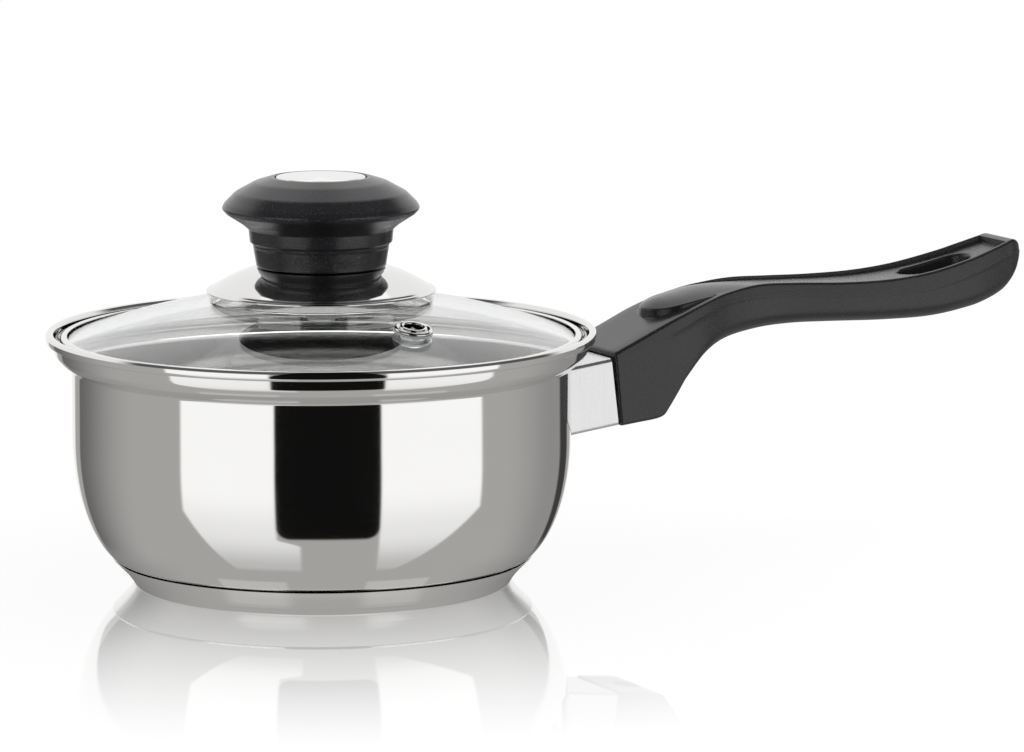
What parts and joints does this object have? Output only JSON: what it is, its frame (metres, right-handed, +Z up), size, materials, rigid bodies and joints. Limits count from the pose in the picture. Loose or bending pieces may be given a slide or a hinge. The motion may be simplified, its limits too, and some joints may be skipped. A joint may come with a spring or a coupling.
{
  "type": "saucepan with glass lid",
  "caption": "Small stainless saucepan with a flared rim, a black moulded handle with a hanging slot, and a lift-off domed glass lid with a vent and a round knob.",
  "frame": {"origin": "centre of the base's flat underside, on the pan's axis, at the surface the pan stands on", "axes": "+X out along the handle, +Z up along the pan's axis"},
  "size_m": [0.3504, 0.1782, 0.132],
  "materials": {
    "mirror_steel": "mirror-polished stainless steel",
    "satin_steel": "fine satin stainless steel",
    "fastener_steel": "plain bright steel",
    "core_aluminium": "mill finish",
    "insert_brass": "turned",
    "black_bakelite": "fine-grained moulded bakelite, charcoal black",
    "clear_glass": "clear tempered glass",
    "silicone": "matt silicone rubber",
    "nylon": "moulded nylon"
  },
  "bodies": {
    "pan": {"pan_body": "mirror_steel", "base_core": "core_aluminium", "base_cap": "satin_steel", "handle_bracket": "fastener_steel", "flame_guard": "satin_steel", "handle": "black_bakelite", "handle_screw": "fastener_steel", "handle_lock_washer": "fastener_steel"},
    "lid": {"lid_glass": "clear_glass", "lid_rim_band": "mirror_steel", "vent_gasket": "silicone", "vent_eyelet": "mirror_steel", "vent_washer": "fastener_steel", "knob_rose": "mirror_steel", "rose_gasket": "silicone", "glass_bush": "nylon", "lower_gasket": "silicone", "lower_washer": "fastener_steel", "spring_washer": "fastener_steel", "knob_screw": "fastener_steel", "knob_insert": "insert_brass", "knob": "black_bakelite", "knob_cap": "mirror_steel"}
  },
  "joints": [
    {"name": "lid_lift", "type": "slide", "parent": "pan", "child": "lid", "axis": [0, 0, 1], "range_m": [0, 0.12]}
  ]
}
